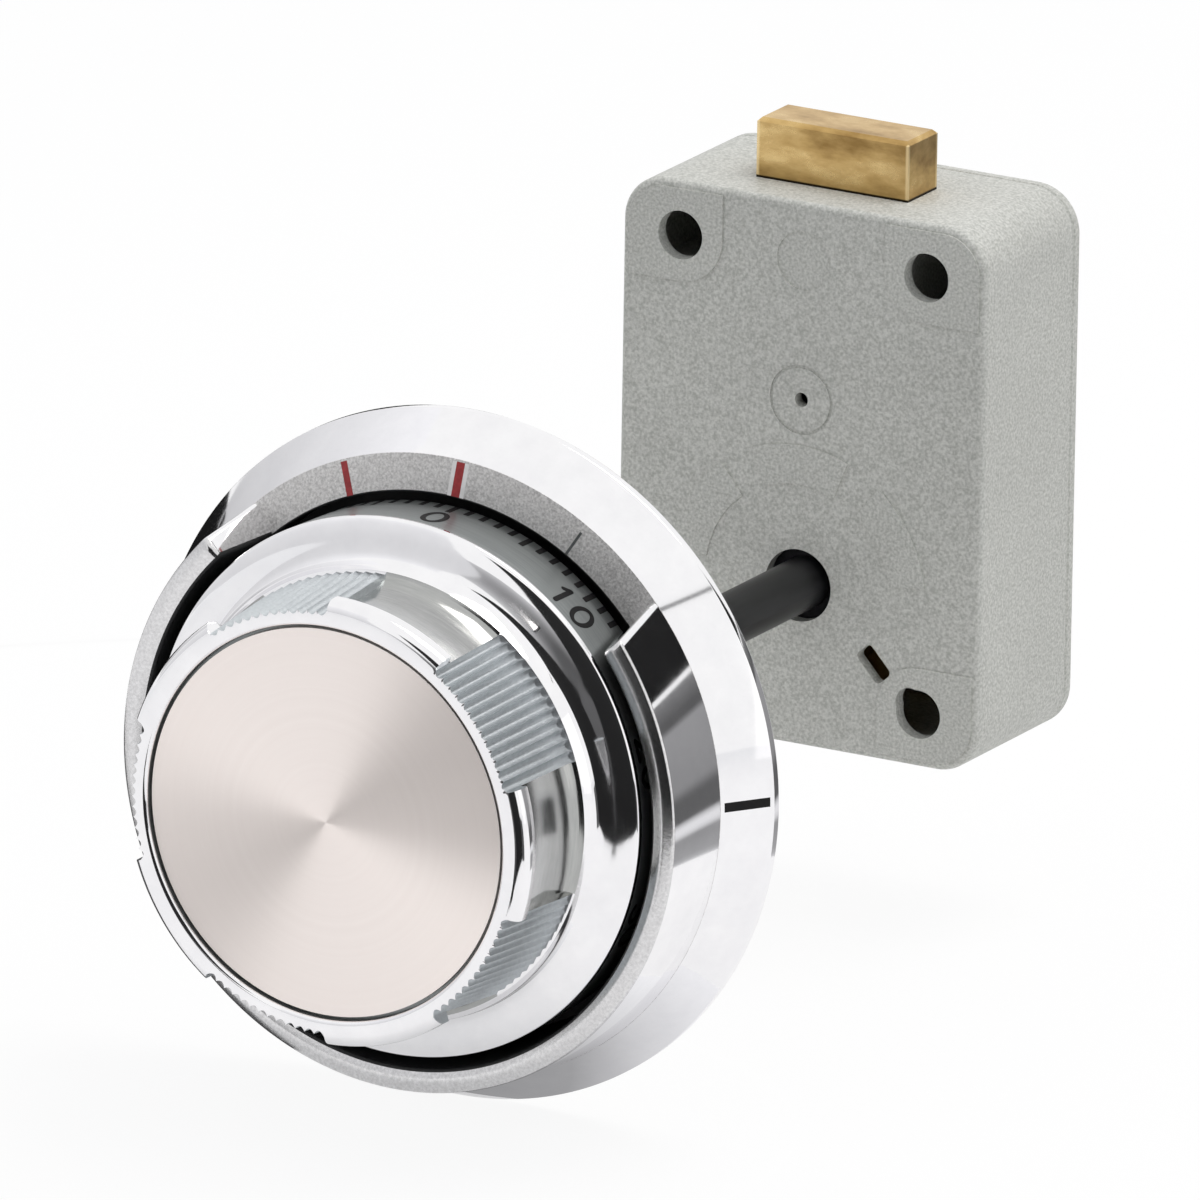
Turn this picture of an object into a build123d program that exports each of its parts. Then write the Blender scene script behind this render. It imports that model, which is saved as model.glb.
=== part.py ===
from build123d import *
import math
import os

# A combination safe lock: a die-cast lock case with its brass bolt on the safe's inner side,
# and a chrome dial in its dial ring on the outer side, joined by one long spindle.
# Millimetres, +Z up. The origin is the spindle's axis at the case's mounting face.
# The dial faces -Y and the lock case lies at +Y. Depths of the ring and dial count forward
# (towards -Y) from the front edge of the ring's rim.

# Lock case
case_top = 58.5
case_depth = 26.8
case_corner_r = 7.0
case_wall = 2.5
front_wall = 2.25
front_round = 1.0
pad_h = 0.25
pad_r = 7.0
pad_inset = 1.1
mount_edge_x = 9.86
mount_edge_z = 8.16
mount_hole_r = 3.7
keyhole_lobe_r = 2.4
keyhole_lobe_shift = 2.0
spindle_hole_r = 5.5
sight_hole_r = 1.1
sight_hole_z = 28.4
sight_ring_r = 5.3
sight_ring_w = 0.5
slot_x = 12.9
slot_z = -10.0
slot_len = 5.6
slot_w = 3.2
slot_corner_r = 0.8
slot_turn = -47.6
ejector_r = 4.5
ejector_down = 8.9
mark_depth = 0.2
emboss_in_r = 15.5
emboss_out_r = 21.5
emboss_h = 0.2
emboss_arc = 44.0
emboss_turns = (-60.0, 0.0, 60.0)

# Cover
cover_t = 2.2
cover_round = 0.8
seam_chamfer = 0.3
cover_lip = 1.2
cover_lip_w = 1.4
cover_screw_down = 17.5
screw_shank_r = 1.6
screw_head_r = 3.1
screw_len = 12.0
screw_slot_w = 0.9
screw_slot_depth = 0.8
screw_boss_r = 3.3
key_hole_r = 3.0
key_hole_turn = 130.0

# Bolt
bolt_w = 25.4
bolt_t = 8.7
bolt_reach = 9.1
bolt_room = 1.8
bolt_chamfer = 0.6
bolt_travel = 9.0
rail_w = 2.0
rib_in = 3.7
rib_w = 2.0
hold_rib_in = 5.7
hold_rib_w = 6.0
hold_rib_len = 12.0

# Spindle, spline key and drive cam
spindle_r = 3.97
keyway_w = 1.9
keyway_depth = 1.2
cam_t = 3.2
cam_hub_r = 8.0
cam_hub_t = 4.6
cam_gate_w = 5.0
cam_gate_depth = 4.5
cam_gate_turn = 60.0

# Wheel pack
wheel_count = 3
wheel_ring_w = 6.0
wheel_t = 2.0
wheel_floor = 2.0
wheel_pitch = 3.7
wheel_gate_w = 4.2
wheel_gate_depth = 4.0
wheel_gate_turns = (35.0, 140.0, -60.0)
hub_edge_w = 0.4
journal_wall = 2.5
journal_t = 0.9
post_wall = 2.53
post_boss_w = 3.5
post_boss_h = 2.3
pin_r = 1.0
pin_gap = 0.2
pin_step = 30.0
fly_w = 2.2
fly_tab_w = 2.4
fly_t = 0.7
fly_nib_w = 1.2
fly_nib_h = 0.8
fly_swing = 5.5
fly_margin = 0.5
spacer_w = 2.2
hub_key_r = 1.2
stack_gap = 0.1
washer_t = 0.4
washer_rise = 0.6
washer_room = 0.4
snap_ring_t = 0.6
snap_ring_w = 1.9
snap_gap_angle = 34.0

# Lever, fence and springs
lever_t = 2.5
lever_gap = 0.3
lever_pivot_in = 5.7
lever_pivot_up = 5.2
lever_eye_r = 5.3
lever_arm_r = 3.0
lever_room = 8.0
lever_knee_gap = 1.7
lever_tail_gap = 1.1
lever_tail_z = -3.5
lever_nose_w = 4.0
nose_gap = 0.3
fence_t = 2.4
fence_w = 4.6
fence_z = 4.9
fence_gap = 0.7
shoulder_r = 2.5
shoulder_head_r = 4.2
shoulder_head_t = 1.8
shoulder_thread_r = 2.0
shoulder_thread_len = 6.0
spring_wire_r = 0.4
spring_anchor_in = 1.3
spring_anchor_up = 11.2
spring_sink = 2.5
spring_run_x = -9.4
spring_run_z = -12.4
spring_bend_r = 1.5

# Relocker
relock_r = 2.0
relock_len = 7.0
relock_up = 3.4
relock_in = 2.7
relock_gap = 0.4
relock_block_z = 3.8
relock_block_back = 5.0
relock_spring_turns = 5
relock_wire_r = 0.3
relock_notch_depth = 3.0
relock_pin_r = 1.0
relock_pin_reach = 3.7

# Dial ring
door_gap = 97.0
ring_r = 51.6
ring_edge_t = 1.5
ring_web_t = 3.2
ring_turn = 3.6
flange_w = 5.1
flange_rise = 6.8
collar_rise = 19.1
collar_lean = 0.8
lip_w = 3.6
lip_crown = 0.4
lip_fall = 1.1
window_rise = 8.0
window_half = 45.25
window_end_slope = 12.8
ring_hub_r = 9.0
bush_r = 6.0
ring_screw_dx = 50.8
ring_screw_r = 2.4
ring_screw_head_r = 4.6
index_turns = (-24.6, 0.0, 27.0)
index_widths = (1.2, 2.4, 0.7)
index_depth = 0.2
side_mark_turn = 84.8
side_mark_w = 1.7
side_mark_depth = 0.25
side_mark_edge = 0.8

# Dial
dial_back = 7.6
dial_hub_back = 5.3
dial_hub_r = 9.0
dial_gap = 0.7
band_back = 8.0
band_flare = 0.5
band_front = 19.4
band_wall = 3.6
bell_mid = 21.7
bell_w = 2.9
bell_bow = 0.45
bell_roll = 0.35
knob_foot = 23.2
knob_step = 4.0
knob_rise = 40.3
rim_roll = 1.8
rim_w = 4.05
rim_in_chamfer = 0.6
waist_in = 2.0
waist_top = 37.2
waist_flare = 6.0
knob_wall = 3.6
face_t = 3.0
flute_patches = 5
flutes_per_patch = 13
flute_patch_angle = 37.0
flute_first_turn = -18.5
flute_facets = 4
flute_depth = 0.65
flute_foot_in = 0.3
flute_lean = 1.35
inlay_gap = 0.5
inlay_t = 1.2
inlay_sink = 0.8
spindle_grip = 25.0

# Clearances
cam_gap = 0.3
bush_gap = 0.5
run_clear = 0.05
slide_clear = 0.1
seat_clear = 0.02
cover_clear = 0.15
over_cut = 1.0

# Worked out from the sizes above
post_r = spindle_r + post_wall
post_boss_r = post_r + post_boss_w
spacer_out_r = post_r + spacer_w
snap_ring_out_r = post_r + snap_ring_w
journal_r = post_r + journal_wall
fly_out_r = journal_r + fly_w
pin_ring_r = fly_out_r + pin_gap + pin_r
fly_tab_r = pin_ring_r + pin_r + pin_gap
hub_r = fly_tab_r + hub_edge_w
wheel_r = hub_r + wheel_ring_w
cam_r = wheel_r
fly_notch_w = 2 * journal_r * math.sin(math.radians(fly_swing + fly_margin)) + fly_nib_w
inner_x = wheel_r + lever_room
inner_top = case_top - case_wall
inner_bottom = -(wheel_r + wheel_floor)
case_w = 2 * (inner_x + case_wall)
case_bottom = inner_bottom - case_wall
case_h = case_top - case_bottom
case_mid_z = (case_top + case_bottom) / 2
cover_back = case_depth + cover_t
hole_x = case_w / 2 - mount_edge_x
hole_z = case_h / 2 - mount_edge_z
hole_spots = [(sx * hole_x, case_mid_z + sz * hole_z) for sx in (-1, 1) for sz in (-1, 1)]
cover_screw_x = inner_x - screw_boss_r - slide_clear
cover_screw_z = case_top - cover_screw_down
wheel_y = front_wall + post_boss_h + washer_t + washer_rise + washer_room
stack_end = wheel_y + (wheel_count - 1) * wheel_pitch + wheel_t + journal_t
post_end = stack_end + snap_ring_t + 2 * stack_gap
cam_y = post_end + cam_gap
spindle_end = cam_y + cam_hub_t
lever_y = cam_y
bolt_back_y = lever_y - lever_gap
bolt_front_y = bolt_back_y - bolt_t
bolt_top = case_top + bolt_reach
bolt_low = wheel_r + bolt_travel + bolt_room
rib_x = bolt_w / 2 - rib_in
hold_rib_x = bolt_w / 2 - hold_rib_in
lever_pivot_x = lever_pivot_in - bolt_w / 2
lever_pivot_z = bolt_low + lever_pivot_up
lever_knee_x = lever_arm_r + lever_knee_gap - inner_x
lever_knee_z = wheel_r
lever_tail_x = lever_arm_r + lever_tail_gap - inner_x
spring_anchor_x = spring_anchor_in - bolt_w / 2
relock_x = bolt_w / 2 + relock_gap
relock_y = bolt_front_y + relock_in
relock_z = bolt_low + relock_up
ring_edge = -(door_gap + ring_edge_t)
flange_top_r = ring_r - flange_w
collar_top_r = flange_top_r - collar_lean
lip_in_r = collar_top_r - lip_w
bore_r = lip_in_r - lip_fall
band_front_r = bore_r - dial_gap
band_back_r = band_front_r - band_flare
bell_mid_r = band_front_r - bell_w
knob_r = bell_mid_r - knob_step
waist_r = knob_r - waist_in
rim_in_r = knob_r - rim_w
inlay_r = rim_in_r - inlay_gap
flute_foot_r = knob_r - flute_foot_in
flute_top_r = flute_foot_r - flute_lean
arc_sag = 1 - math.sqrt(0.5)


# Shapes along the spindle's axis
def depth(d):
    """The y of a point d forward of the ring rim's front edge."""
    return ring_edge - d


def rod(r, y0, y1, x=0.0, z=0.0):
    return Pos(x, (y0 + y1) / 2, z) * Rot(90, 0, 0) * Cylinder(r, y1 - y0)


def slab(x0, x1, y0, y1, z0, z1):
    return Pos((x0 + x1) / 2, (y0 + y1) / 2, (z0 + z1) / 2) * Box(x1 - x0, y1 - y0, z1 - z0)


def plate(sketch, y0, y1):
    """A flat sketch, x right and z up, given thickness from y0 back to y1."""
    return extrude(Plane.XZ.offset(-y1) * sketch, amount=y1 - y0)


def tube(r_out, r_in, y0, y1):
    return rod(r_out, y0, y1) - rod(r_in, y0 - over_cut, y1 + over_cut)


def turned(edges):
    """A closed outline of radius and y, turned about the spindle's axis."""
    return revolve(make_face(Plane.XY * edges), Axis.Y)


def clock(r, turn):
    """The x and z of a point at radius r, turned clockwise from the top as seen from the dial."""
    return r * math.sin(math.radians(turn)), r * math.cos(math.radians(turn))


def wedge_face(angle, reach):
    """A triangle from the axis, standing on its point, that opens upwards by the angle."""
    half = math.radians(angle / 2)
    return make_face(Polyline((0, 0), (-reach * math.sin(half), reach * math.cos(half)),
                              (reach * math.sin(half), reach * math.cos(half)), close=True))


def rounded(w, h, r):
    return Pos(0, case_mid_z) * RectangleRounded(w, h, r)


def save(node, shape):
    solids = shape.solids()
    shape = solids[0] if len(solids) == 1 else Compound(children=list(solids))
    export_step(shape, f"parts/{node}.step")


# The die-cast case, open at the back
def corner_pad(x, z):
    sx = math.copysign(1, x)
    sz = math.copysign(1, z - case_mid_z)
    reach = max(case_w, case_h)
    fill = Pos(x + sx * reach / 2, z + sz * reach / 2) * Rectangle(reach, reach)
    side = Pos(x + sx * reach / 2, z) * Rectangle(reach, 2 * pad_r)
    top = Pos(x, z + sz * reach / 2) * Rectangle(2 * pad_r, reach)
    limit = rounded(case_w - 2 * pad_inset, case_h - 2 * pad_inset, case_corner_r - pad_inset)
    return (Pos(x, z) * Circle(pad_r) + fill + side + top) & limit


def arc_pad(turn):
    """A low plain arc cast on the front face round the spindle hole."""
    band = (Circle(emboss_out_r) - Circle(emboss_in_r)) & wedge_face(emboss_arc, 2 * emboss_out_r)
    return Rot(0, turn, 0) * plate(band, pad_h - emboss_h, pad_h + front_wall / 2)


def case_shell():
    body = plate(rounded(case_w, case_h, case_corner_r), pad_h, case_depth)
    body = fillet(body.faces().sort_by(Axis.Y)[0].edges(), front_round)
    body = chamfer(body.faces().sort_by(Axis.Y)[-1].edges(), seam_chamfer)
    for x, z in hole_spots:
        body += plate(corner_pad(x, z), 0, pad_h + front_wall / 2)
    for turn in emboss_turns:
        body += arc_pad(turn)
    inner_r = case_corner_r - case_wall
    cavity = rounded(case_w - 2 * case_wall, case_h - 2 * case_wall, inner_r)
    return body - plate(cavity, front_wall, case_depth + over_cut)


def case_front_cuts():
    """The mounting holes, one with its keyhole lobe, and the small marks on the front face."""
    cuts = rod(spindle_hole_r, -over_cut, front_wall + over_cut)
    for x, z in hole_spots:
        cuts += rod(mount_hole_r, -over_cut, front_wall + over_cut, x, z)
    step = keyhole_lobe_shift / math.sqrt(2)
    x, z = hole_x - step, case_mid_z - hole_z + step
    cuts += rod(keyhole_lobe_r, -over_cut, front_wall + over_cut, x, z)
    cuts += rod(sight_hole_r, -over_cut, front_wall + over_cut, 0, sight_hole_z)
    ring_cut = Circle(sight_ring_r) - Circle(sight_ring_r - sight_ring_w)
    cuts += plate(Pos(0, sight_hole_z) * ring_cut, -over_cut, pad_h + mark_depth)
    slot = Pos(slot_x, slot_z) * Rot(0, 0, slot_turn) * RectangleRounded(slot_len, slot_w, slot_corner_r)
    cuts += plate(slot, -over_cut, front_wall + over_cut)
    cuts += rod(ejector_r, -over_cut, pad_h + mark_depth, 0, case_top - ejector_down)
    return cuts


def case_inner_walls():
    """The wheel post's boss, the bolt's rails and ribs, the relocker block and the screw bosses."""
    base = front_wall / 2
    walls = rod(post_boss_r, base, front_wall + post_boss_h)
    rail_in = bolt_w / 2 + slide_clear
    rail_low = bolt_low - slide_clear
    for side in (-1, 1):
        x0, x1 = sorted((side * rail_in, side * (rail_in + rail_w)))
        walls += slab(x0, x1, base, bolt_back_y, rail_low, inner_top + over_cut)
        x0, x1 = sorted((side * rib_x, side * (rib_x - rib_w)))
        walls += slab(x0, x1, base, bolt_front_y - slide_clear, rail_low, inner_top + over_cut)
        walls += rod(screw_boss_r, base, case_depth - cover_lip, side * cover_screw_x, cover_screw_z)
        x0, x1 = sorted((side * cover_screw_x, side * (inner_x + over_cut)))
        z0 = cover_screw_z - screw_boss_r
        z1 = cover_screw_z + screw_boss_r
        walls += slab(x0, x1, base, case_depth - cover_lip, z0, z1)
    block_z0 = relock_z - relock_block_z
    block_z1 = relock_z + relock_block_z
    block_back = relock_y + relock_block_back
    walls += slab(rail_in, inner_x + over_cut, base, block_back, block_z0, block_z1)
    return walls


def lock_case():
    body = case_shell() + case_inner_walls()
    body -= case_front_cuts()
    body -= rod(post_r + seat_clear, front_wall, front_wall + post_boss_h + over_cut)
    window_x = bolt_w / 2 + slide_clear
    window_y0 = bolt_front_y - slide_clear
    window_y1 = bolt_back_y + slide_clear
    body -= slab(-window_x, window_x, window_y0, window_y1, bolt_low, case_top + over_cut)
    for side in (-1, 1):
        y0 = case_depth - cover_lip - screw_len
        body -= rod(screw_shank_r + seat_clear, y0, case_depth, side * cover_screw_x, cover_screw_z)
    bore_end = inner_x - slide_clear
    body -= relock_rod(relock_r + run_clear, 0, bore_end)
    pin_low = relock_y - relock_pin_reach
    body -= rod(relock_pin_r + slide_clear, pin_low, case_depth, relock_pin_x(), relock_z)
    return body


def relock_rod(r, x0, x1):
    return Pos((x0 + x1) / 2, relock_y, relock_z) * Rot(0, 90, 0) * Cylinder(r, x1 - x0)


def relock_pin_x():
    return relock_x + relock_len / 2


# The cover closes the case's back along a chamfered seam; its lip stands inside the walls
def case_cover():
    body = plate(rounded(case_w, case_h, case_corner_r), case_depth, cover_back)
    body = fillet(body.faces().sort_by(Axis.Y)[-1].edges(), cover_round)
    body = chamfer(body.faces().sort_by(Axis.Y)[0].edges(), seam_chamfer)
    gap = 2 * (case_wall + cover_clear)
    lip_r = case_corner_r - case_wall - cover_clear
    outer = rounded(case_w - gap, case_h - gap, lip_r)
    inner = rounded(case_w - gap - 2 * cover_lip_w, case_h - gap - 2 * cover_lip_w, lip_r - cover_lip_w)
    body += plate(outer - inner, case_depth - cover_lip + slide_clear, case_depth)
    z1 = inner_top - cover_clear
    x0, x1 = hold_rib_x - hold_rib_w / 2, hold_rib_x + hold_rib_w / 2
    body += slab(x0, x1, bolt_back_y + slide_clear, case_depth, z1 - hold_rib_len, z1)
    body += rod(relock_pin_r, relock_y - relock_pin_reach + slide_clear, case_depth, relock_pin_x(), relock_z)
    head_depth = screw_head_r - screw_shank_r
    for side in (-1, 1):
        x = side * cover_screw_x
        y0, y1 = case_depth - cover_lip, cover_back + over_cut
        body -= rod(screw_shank_r + slide_clear, y0, y1, x, cover_screw_z)
        sink = Cone(screw_shank_r + slide_clear, screw_head_r + slide_clear, head_depth)
        body -= Pos(x, cover_back - head_depth / 2, cover_screw_z) * Rot(-90, 0, 0) * sink
    key_x, key_z = clock(pin_ring_r, key_hole_turn)
    return body - rod(key_hole_r, case_depth - cover_lip, cover_back + over_cut, key_x, key_z)


def screw_slot(x, z, head_r, head_y):
    """The driver slot across a screw head whose top lies at head_y."""
    half = head_r + over_cut
    half_w = screw_slot_w / 2
    return slab(x - half, x + half, head_y - screw_slot_depth, head_y + over_cut, z - half_w, z + half_w)


def cover_screws():
    screws = []
    head_depth = screw_head_r - screw_shank_r
    for side in (-1, 1):
        x = side * cover_screw_x
        y0 = case_depth - cover_lip - screw_len + 2 * slide_clear
        screw = rod(screw_shank_r, y0, cover_back - head_depth / 2, x, cover_screw_z)
        head = Cone(screw_shank_r, screw_head_r, head_depth)
        screw += Pos(x, cover_back - head_depth / 2, cover_screw_z) * Rot(-90, 0, 0) * head
        screw -= screw_slot(x, cover_screw_z, screw_head_r, cover_back)
        screws += screw.solids()
    return Compound(children=screws)


# The bolt slides in the case's window; the lever turns on a shoulder screw in its back
def bolt():
    body = slab(-bolt_w / 2, bolt_w / 2, bolt_front_y, bolt_back_y, bolt_low, bolt_top)
    body = chamfer(body.faces().sort_by(Axis.Z)[-1].edges(), bolt_chamfer)
    body = chamfer(body.faces().sort_by(Axis.Z)[0].edges(), bolt_chamfer)
    y0, y1 = bolt_back_y - shoulder_thread_len, bolt_back_y + over_cut
    body -= rod(shoulder_thread_r + seat_clear, y0, y1, lever_pivot_x, lever_pivot_z)
    notch_x = bolt_w / 2 - relock_notch_depth
    body -= relock_rod(relock_r + slide_clear, notch_x, bolt_w / 2 + over_cut)
    anchor_y = bolt_back_y - spring_sink - slide_clear
    anchor_z = bolt_low + spring_anchor_up
    return body - rod(spring_wire_r + seat_clear, anchor_y, bolt_back_y + over_cut, spring_anchor_x, anchor_z)


def arm(x0, z0, r0, x1, z1, r1):
    """A bar with two round ends and straight sides tangent to both."""
    length = math.hypot(x1 - x0, z1 - z0)
    aim = math.atan2(z1 - z0, x1 - x0)
    lean = math.acos((r0 - r1) / length)
    corners = []
    for turn in (lean, -lean):
        corners.append((x0 + r0 * math.cos(aim + turn), z0 + r0 * math.sin(aim + turn)))
    for turn in (-lean, lean):
        corners.append((x1 + r1 * math.cos(aim + turn), z1 + r1 * math.sin(aim + turn)))
    bar = make_face(Polyline(*corners, close=True))
    return bar + Pos(x0, z0) * Circle(r0) + Pos(x1, z1) * Circle(r1)


def lever():
    upper = arm(lever_pivot_x, lever_pivot_z, lever_eye_r, lever_knee_x, lever_knee_z, lever_arm_r)
    lower = arm(lever_knee_x, lever_knee_z, lever_arm_r, lever_tail_x, lever_tail_z, lever_arm_r)
    nose_x = -(cam_r + nose_gap)
    nose_len = nose_x - lever_tail_x
    nose_z = lever_tail_z + lever_arm_r / 2
    nose = Pos(lever_tail_x + nose_len / 2, nose_z) * Rectangle(nose_len, lever_nose_w)
    body = plate(upper + lower + nose, lever_y, lever_y + lever_t)
    y0, y1 = lever_y - over_cut, lever_y + lever_t + over_cut
    body -= rod(shoulder_r + run_clear, y0, y1, lever_pivot_x, lever_pivot_z)
    return body - fence_tenon(seat_clear, y0, y1)


def fence_x():
    """The middle of the fence, beside the wheels' rims."""
    return -(wheel_r + fence_gap + fence_t / 2)


def fence_tenon(grow, y0, y1):
    half_x = fence_t / 4 + grow
    half_z = fence_w / 4 + grow
    return slab(fence_x() - half_x, fence_x() + half_x, y0, y1, fence_z - half_z, fence_z + half_z)


def fence_bar():
    x = fence_x()
    y1 = lever_y - seat_clear
    body = slab(x - fence_t / 2, x + fence_t / 2, wheel_y, y1, fence_z - fence_w / 2, fence_z + fence_w / 2)
    return body + fence_tenon(0, y1 - fence_t, lever_y + lever_t)


def lever_screw():
    x, z = lever_pivot_x, lever_pivot_z
    shoulder_end = lever_y + lever_t + slide_clear
    body = rod(shoulder_thread_r, bolt_back_y - shoulder_thread_len + slide_clear, bolt_back_y, x, z)
    body += rod(shoulder_r, bolt_back_y, shoulder_end, x, z)
    head_end = shoulder_end + shoulder_head_t
    body += rod(shoulder_head_r, shoulder_end, head_end, x, z)
    return body - screw_slot(x, z, shoulder_head_r, head_end)


def lever_spring():
    """A bent wire from the bolt's back, lying along the lever's outer edge."""
    x, z = spring_anchor_x, bolt_low + spring_anchor_up
    y = lever_y + lever_t / 2
    points = [(x, bolt_back_y - spring_sink, z), (x, y, z), (x + spring_run_x, y, z + spring_run_z)]
    path = FilletPolyline(*points, radius=spring_bend_r)
    return sweep(Plane(path @ 0, z_dir=path % 0) * Circle(spring_wire_r), path=path)


# The relocker is held back by a pin on the cover, and fires if the cover is knocked off
def relock_plunger():
    body = relock_rod(relock_r, relock_x, relock_x + relock_len)
    y0, y1 = relock_y - relock_r - over_cut, relock_y + relock_r + over_cut
    return body - rod(relock_pin_r + slide_clear, y0, y1, relock_pin_x(), relock_z)


def relock_spring():
    x0 = relock_x + relock_len + relock_wire_r + slide_clear
    x1 = inner_x - 2 * slide_clear - relock_wire_r
    coil_r = relock_r - relock_wire_r - slide_clear
    pitch = (x1 - x0) / relock_spring_turns
    coil = Helix(pitch=pitch, height=x1 - x0, radius=coil_r)
    start = Plane(coil @ 0, x_dir=(1, 0, 0), z_dir=coil % 0)
    section = start * Rectangle(2 * relock_wire_r, 2 * relock_wire_r)
    wire = sweep(section, path=coil, is_frenet=True)
    return Pos(x0, relock_y, relock_z) * Rot(0, 90, 0) * wire


# The spindle carries the dial at one end and the drive cam at the other
def spindle():
    front = depth(dial_hub_back + spindle_grip)
    body = rod(spindle_r, front, spindle_end)
    low = spindle_r - keyway_depth
    return body - slab(-keyway_w / 2, keyway_w / 2, cam_y, spindle_end + over_cut, low, cam_r)


def spline_key():
    half = keyway_w / 2 - seat_clear
    low = spindle_r - keyway_depth + seat_clear
    return slab(-half, half, cam_y + slide_clear, spindle_end, low, spindle_r + keyway_depth - seat_clear)


def drive_cam():
    body = rod(cam_r, cam_y, cam_y + cam_t) + rod(cam_hub_r, cam_y, cam_y + cam_hub_t)
    gate = slab(-cam_gate_w / 2, cam_gate_w / 2, cam_y - over_cut, cam_y + cam_t + over_cut,
                cam_r - cam_gate_depth, cam_r + over_cut)
    body -= Rot(0, cam_gate_turn, 0) * gate
    body -= rod(spindle_r + seat_clear, cam_y - over_cut, spindle_end + over_cut)
    key_top = spindle_r + keyway_depth
    body -= slab(-keyway_w / 2, keyway_w / 2, cam_y - over_cut, spindle_end + over_cut, 0, key_top)
    key_x, key_z = clock(pin_ring_r, key_hole_turn)
    body -= rod(hub_key_r, cam_y - over_cut, cam_y + cam_t + over_cut, key_x, key_z)
    return body + drive_pin(wheel_count, cam_y)


def drive_pin(level, face_y):
    """A pin on the front of a wheel's hub or of the cam, reaching past the fly of the wheel before it."""
    x, z = clock(pin_ring_r, pin_turn(level))
    behind = wheel_y + (level - 1) * wheel_pitch + wheel_t + stack_gap
    return rod(pin_r, behind, face_y + wheel_t / 2, x, z)


def pin_turn(level):
    return level * pin_step


# One wheel of the pack: ring, hub and fly; level 0 lies nearest the dial
def wheel_face(level):
    return wheel_y + level * wheel_pitch


def wheel(level):
    y0 = wheel_face(level)
    body = tube(wheel_r, hub_r + seat_clear, y0, y0 + wheel_t)
    gate = slab(-wheel_gate_w / 2, wheel_gate_w / 2, y0 - over_cut, y0 + wheel_t + over_cut,
                wheel_r - wheel_gate_depth, wheel_r + over_cut)
    return body - Rot(0, wheel_gate_turns[level % len(wheel_gate_turns)], 0) * gate


def wheel_hub(level):
    y0 = wheel_face(level)
    body = rod(hub_r, y0, y0 + wheel_t) + rod(journal_r, y0, y0 + wheel_t + journal_t)
    nib = slab(-fly_nib_w / 2, fly_nib_w / 2, y0, y0 + wheel_t + journal_t, 0, journal_r + fly_nib_h)
    body += Rot(0, fly_turn(level) + 180, 0) * nib
    body -= rod(post_r + run_clear, y0 - over_cut, y0 + wheel_t + journal_t + over_cut)
    key_x, key_z = clock(pin_ring_r, key_hole_turn)
    body -= rod(hub_key_r, y0 - over_cut, y0 + wheel_t + over_cut, key_x, key_z)
    if level > 0:
        body += drive_pin(level, y0)
    return body


def fly_turn(level):
    """A fly's tab starts half a turn from the pin that drives it, which sits on the next piece back."""
    return pin_turn(level + 1) + 180


def fly(level):
    y0 = wheel_face(level) + wheel_t + stack_gap
    y1 = y0 + fly_t
    body = tube(fly_out_r, journal_r + run_clear, y0, y1)
    tab = slab(-fly_tab_w / 2, fly_tab_w / 2, y0, y1, (journal_r + fly_out_r) / 2, fly_tab_r)
    notch = slab(-fly_notch_w / 2, fly_notch_w / 2, y0 - over_cut, y1 + over_cut,
                 -(journal_r + fly_nib_h + 2 * run_clear), 0)
    notch -= rod(journal_r / 2, y0 - 2 * over_cut, y1 + 2 * over_cut)
    return Rot(0, fly_turn(level), 0) * (body + tab - notch)


# The post that the wheels turn on, and what stays still on it
def wheel_post():
    return tube(post_r, spindle_r + run_clear, front_wall, post_end)


def tension_washer():
    y0 = front_wall + post_boss_h + stack_gap
    y1 = y0 + washer_rise
    r0, r1 = post_r + run_clear, journal_r
    return turned(Polyline((r0, y1), (r1, y0), (r1, y0 + washer_t), (r0, y1 + washer_t), close=True))


def spacer_washers():
    rings = []
    for level in range(wheel_count - 1):
        y0 = wheel_face(level) + wheel_t + journal_t + stack_gap
        y1 = wheel_face(level + 1) - stack_gap
        rings += tube(spacer_out_r, post_r + run_clear, y0, y1).solids()
    return Compound(children=rings)


def post_snap_ring():
    y0 = stack_end + stack_gap
    body = tube(snap_ring_out_r, post_r + seat_clear, y0, y0 + snap_ring_t)
    gap = wedge_face(snap_gap_angle, 2 * snap_ring_out_r)
    return body - Rot(0, 180, 0) * plate(gap, y0 - over_cut, y0 + snap_ring_t + over_cut)


# The dial ring: a turned flange and collar, cut away at the top so that only the user sees the numbers
def ring_body():
    outline = [
        (bush_r + seat_clear, -door_gap),
        (ring_r, -door_gap),
        (ring_r, depth(0)),
        (flange_top_r, depth(flange_rise)),
        (collar_top_r, depth(collar_rise)),
        ((collar_top_r + lip_in_r) / 2, depth(collar_rise + lip_crown)),
        (lip_in_r, depth(collar_rise)),
        (bore_r, depth(window_rise)),
        (bore_r, -door_gap - ring_web_t),
        (ring_hub_r, -door_gap - ring_web_t),
        (ring_hub_r, depth(dial_hub_back) + bush_gap),
        (bush_r + seat_clear, depth(dial_hub_back) + bush_gap),
    ]
    return turned(Polyline(*outline, close=True))


def window_cut():
    """The part of the collar above the sloping window face, between the two slanted ends."""
    top = collar_rise + lip_crown + over_cut
    reach = ring_r + over_cut
    outline = [
        (bore_r - over_cut, depth(window_rise)),
        (bore_r, depth(window_rise)),
        (flange_top_r, depth(flange_rise)),
        (reach, depth(flange_rise)),
        (reach, depth(top)),
        (bore_r - over_cut, depth(top)),
    ]
    wedge = Plane.XZ.offset(-depth(flange_rise)) * wedge_face(2 * window_half, 2 * reach)
    wedge = extrude(wedge, amount=top - flange_rise, taper=-window_end_slope)
    return turned(Polyline(*outline, close=True)) & wedge


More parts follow.
